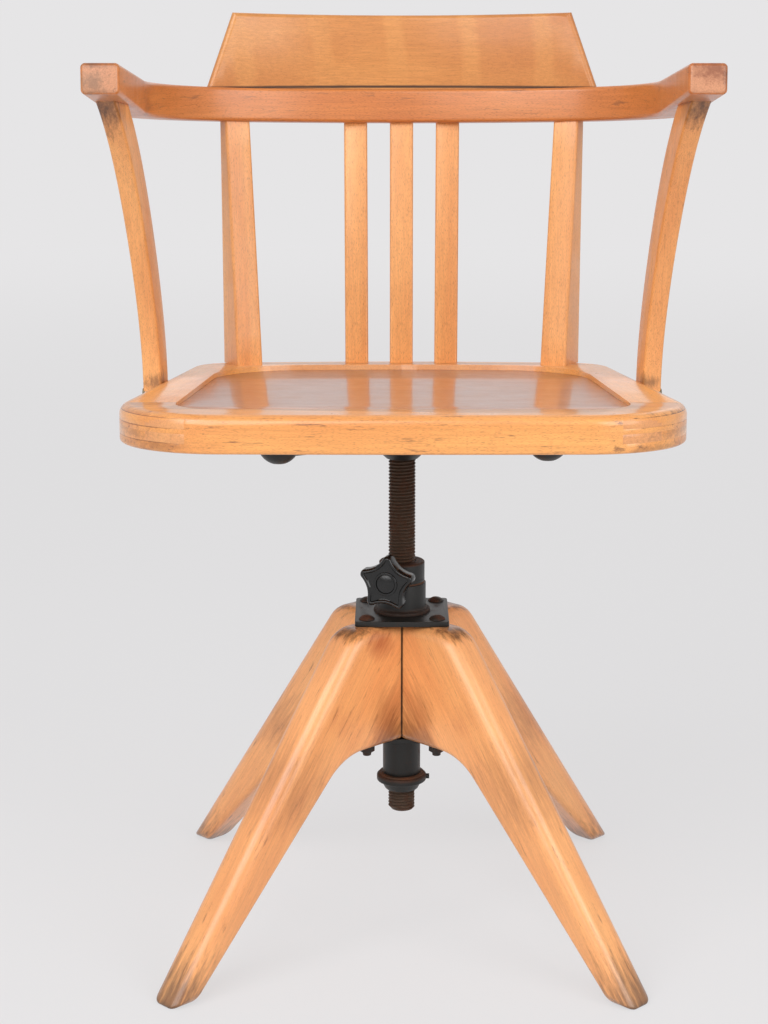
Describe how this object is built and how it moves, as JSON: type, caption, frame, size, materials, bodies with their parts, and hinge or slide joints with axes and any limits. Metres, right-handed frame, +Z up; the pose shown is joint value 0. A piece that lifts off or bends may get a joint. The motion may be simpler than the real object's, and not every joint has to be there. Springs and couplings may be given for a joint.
{
  "type": "swivel armchair",
  "caption": "Wooden swivel office armchair with a one-piece bent back-and-arm bow on a four-legged base, raised and lowered by a screw spindle with a star-knob clamp.",
  "frame": {"origin": "floor level, at the centre of the whole chair's footprint box; the swivel axis stands 14.5 mm in front of it", "axes": "+Z up, the sitter faces -Y, +X to the right as seen by someone who faces the chair"},
  "size_m": [0.5446, 0.4702, 0.8615],
  "materials": {
    "varnished_beech": "satin amber varnish, worn at joints and feet",
    "leg_beech": "satin amber varnish over flecked beech",
    "seat_veneer": "glossy amber varnish",
    "black_iron": "blackened, satin, rust at the edges",
    "screw_steel": "dark brown, rusty and greased",
    "hub_fasteners": "blackened",
    "bearing_bronze": "bronze",
    "black_bakelite": "gloss",
    "wood_screws": "dull steel"
  },
  "bodies": {
    "base": {"leg_front_left": "leg_beech", "leg_front_right": "leg_beech", "leg_rear_right": "leg_beech", "leg_rear_left": "leg_beech", "hub_top_plate": "black_iron", "hub_sleeve": "black_iron", "hub_bottom_plate": "black_iron", "upper_bush": "bearing_bronze", "lower_bush": "bearing_bronze", "hub_bolts": "hub_fasteners", "hub_bolt_washers": "hub_fasteners", "hub_bolt_nuts": "hub_fasteners"},
    "quill": {"swivel_quill": "screw_steel", "upper_thrust_washer": "bearing_bronze", "lower_thrust_washer": "screw_steel", "retaining_collar": "black_iron", "collar_set_screw": "hub_fasteners"},
    "height_nut": {"height_nut": "black_iron"},
    "clamp_pad": {"clamp_pad": "bearing_bronze"},
    "clamp_knob": {"clamp_stud": "hub_fasteners", "clamp_knob": "black_bakelite"},
    "seat": {"screw_spindle": "screw_steel", "seat_spider": "black_iron", "spider_screws": "wood_screws", "seat_rail_front": "varnished_beech", "seat_rail_left": "varnished_beech", "seat_rail_right": "varnished_beech", "seat_rail_rear": "varnished_beech", "seat_panel": "seat_veneer", "seat_batten_left": "varnished_beech", "seat_batten_right": "varnished_beech", "arm_bow": "varnished_beech", "crest_board": "varnished_beech", "crest_dowels": "varnished_beech", "back_post_left": "varnished_beech", "back_post_right": "varnished_beech", "back_slat_left": "varnished_beech", "back_slat_middle": "varnished_beech", "back_slat_right": "varnished_beech", "arm_post_left": "varnished_beech", "arm_post_right": "varnished_beech", "arm_post_screws": "wood_screws"}
  },
  "joints": [
    {"name": "seat_swivel", "type": "hinge", "parent": "base", "child": "quill", "pos_m": [0, -0.01451, 0.3], "axis": [0, 0, 1], "continuous": true},
    {"name": "nut_turn", "type": "hinge", "parent": "quill", "child": "height_nut", "pos_m": [0, -0.01451, 0.34], "axis": [0, 0, 1], "range_deg": [-3350, 9645]},
    {"name": "seat_height", "type": "slide", "parent": "quill", "child": "seat", "axis": [0, 0, 1], "range_m": [-0.085, 0.0295]},
    {"name": "pad_travel", "type": "slide", "parent": "height_nut", "child": "clamp_pad", "axis": [-0.2924, -0.9563, 0], "range_m": [0, 0.00085]},
    {"name": "knob_turn", "type": "hinge", "parent": "clamp_pad", "child": "clamp_knob", "pos_m": [0, -0.01451, 0.345], "axis": [-0.2924, -0.9563, 0], "range_deg": [0, 245.5]}
  ],
  "couplings": [
    {"joint": "nut_turn", "follows": "seat_height", "rad_per_m": -1979},
    {"joint": "knob_turn", "follows": "pad_travel", "rad_per_m": 5026.5}
  ]
}
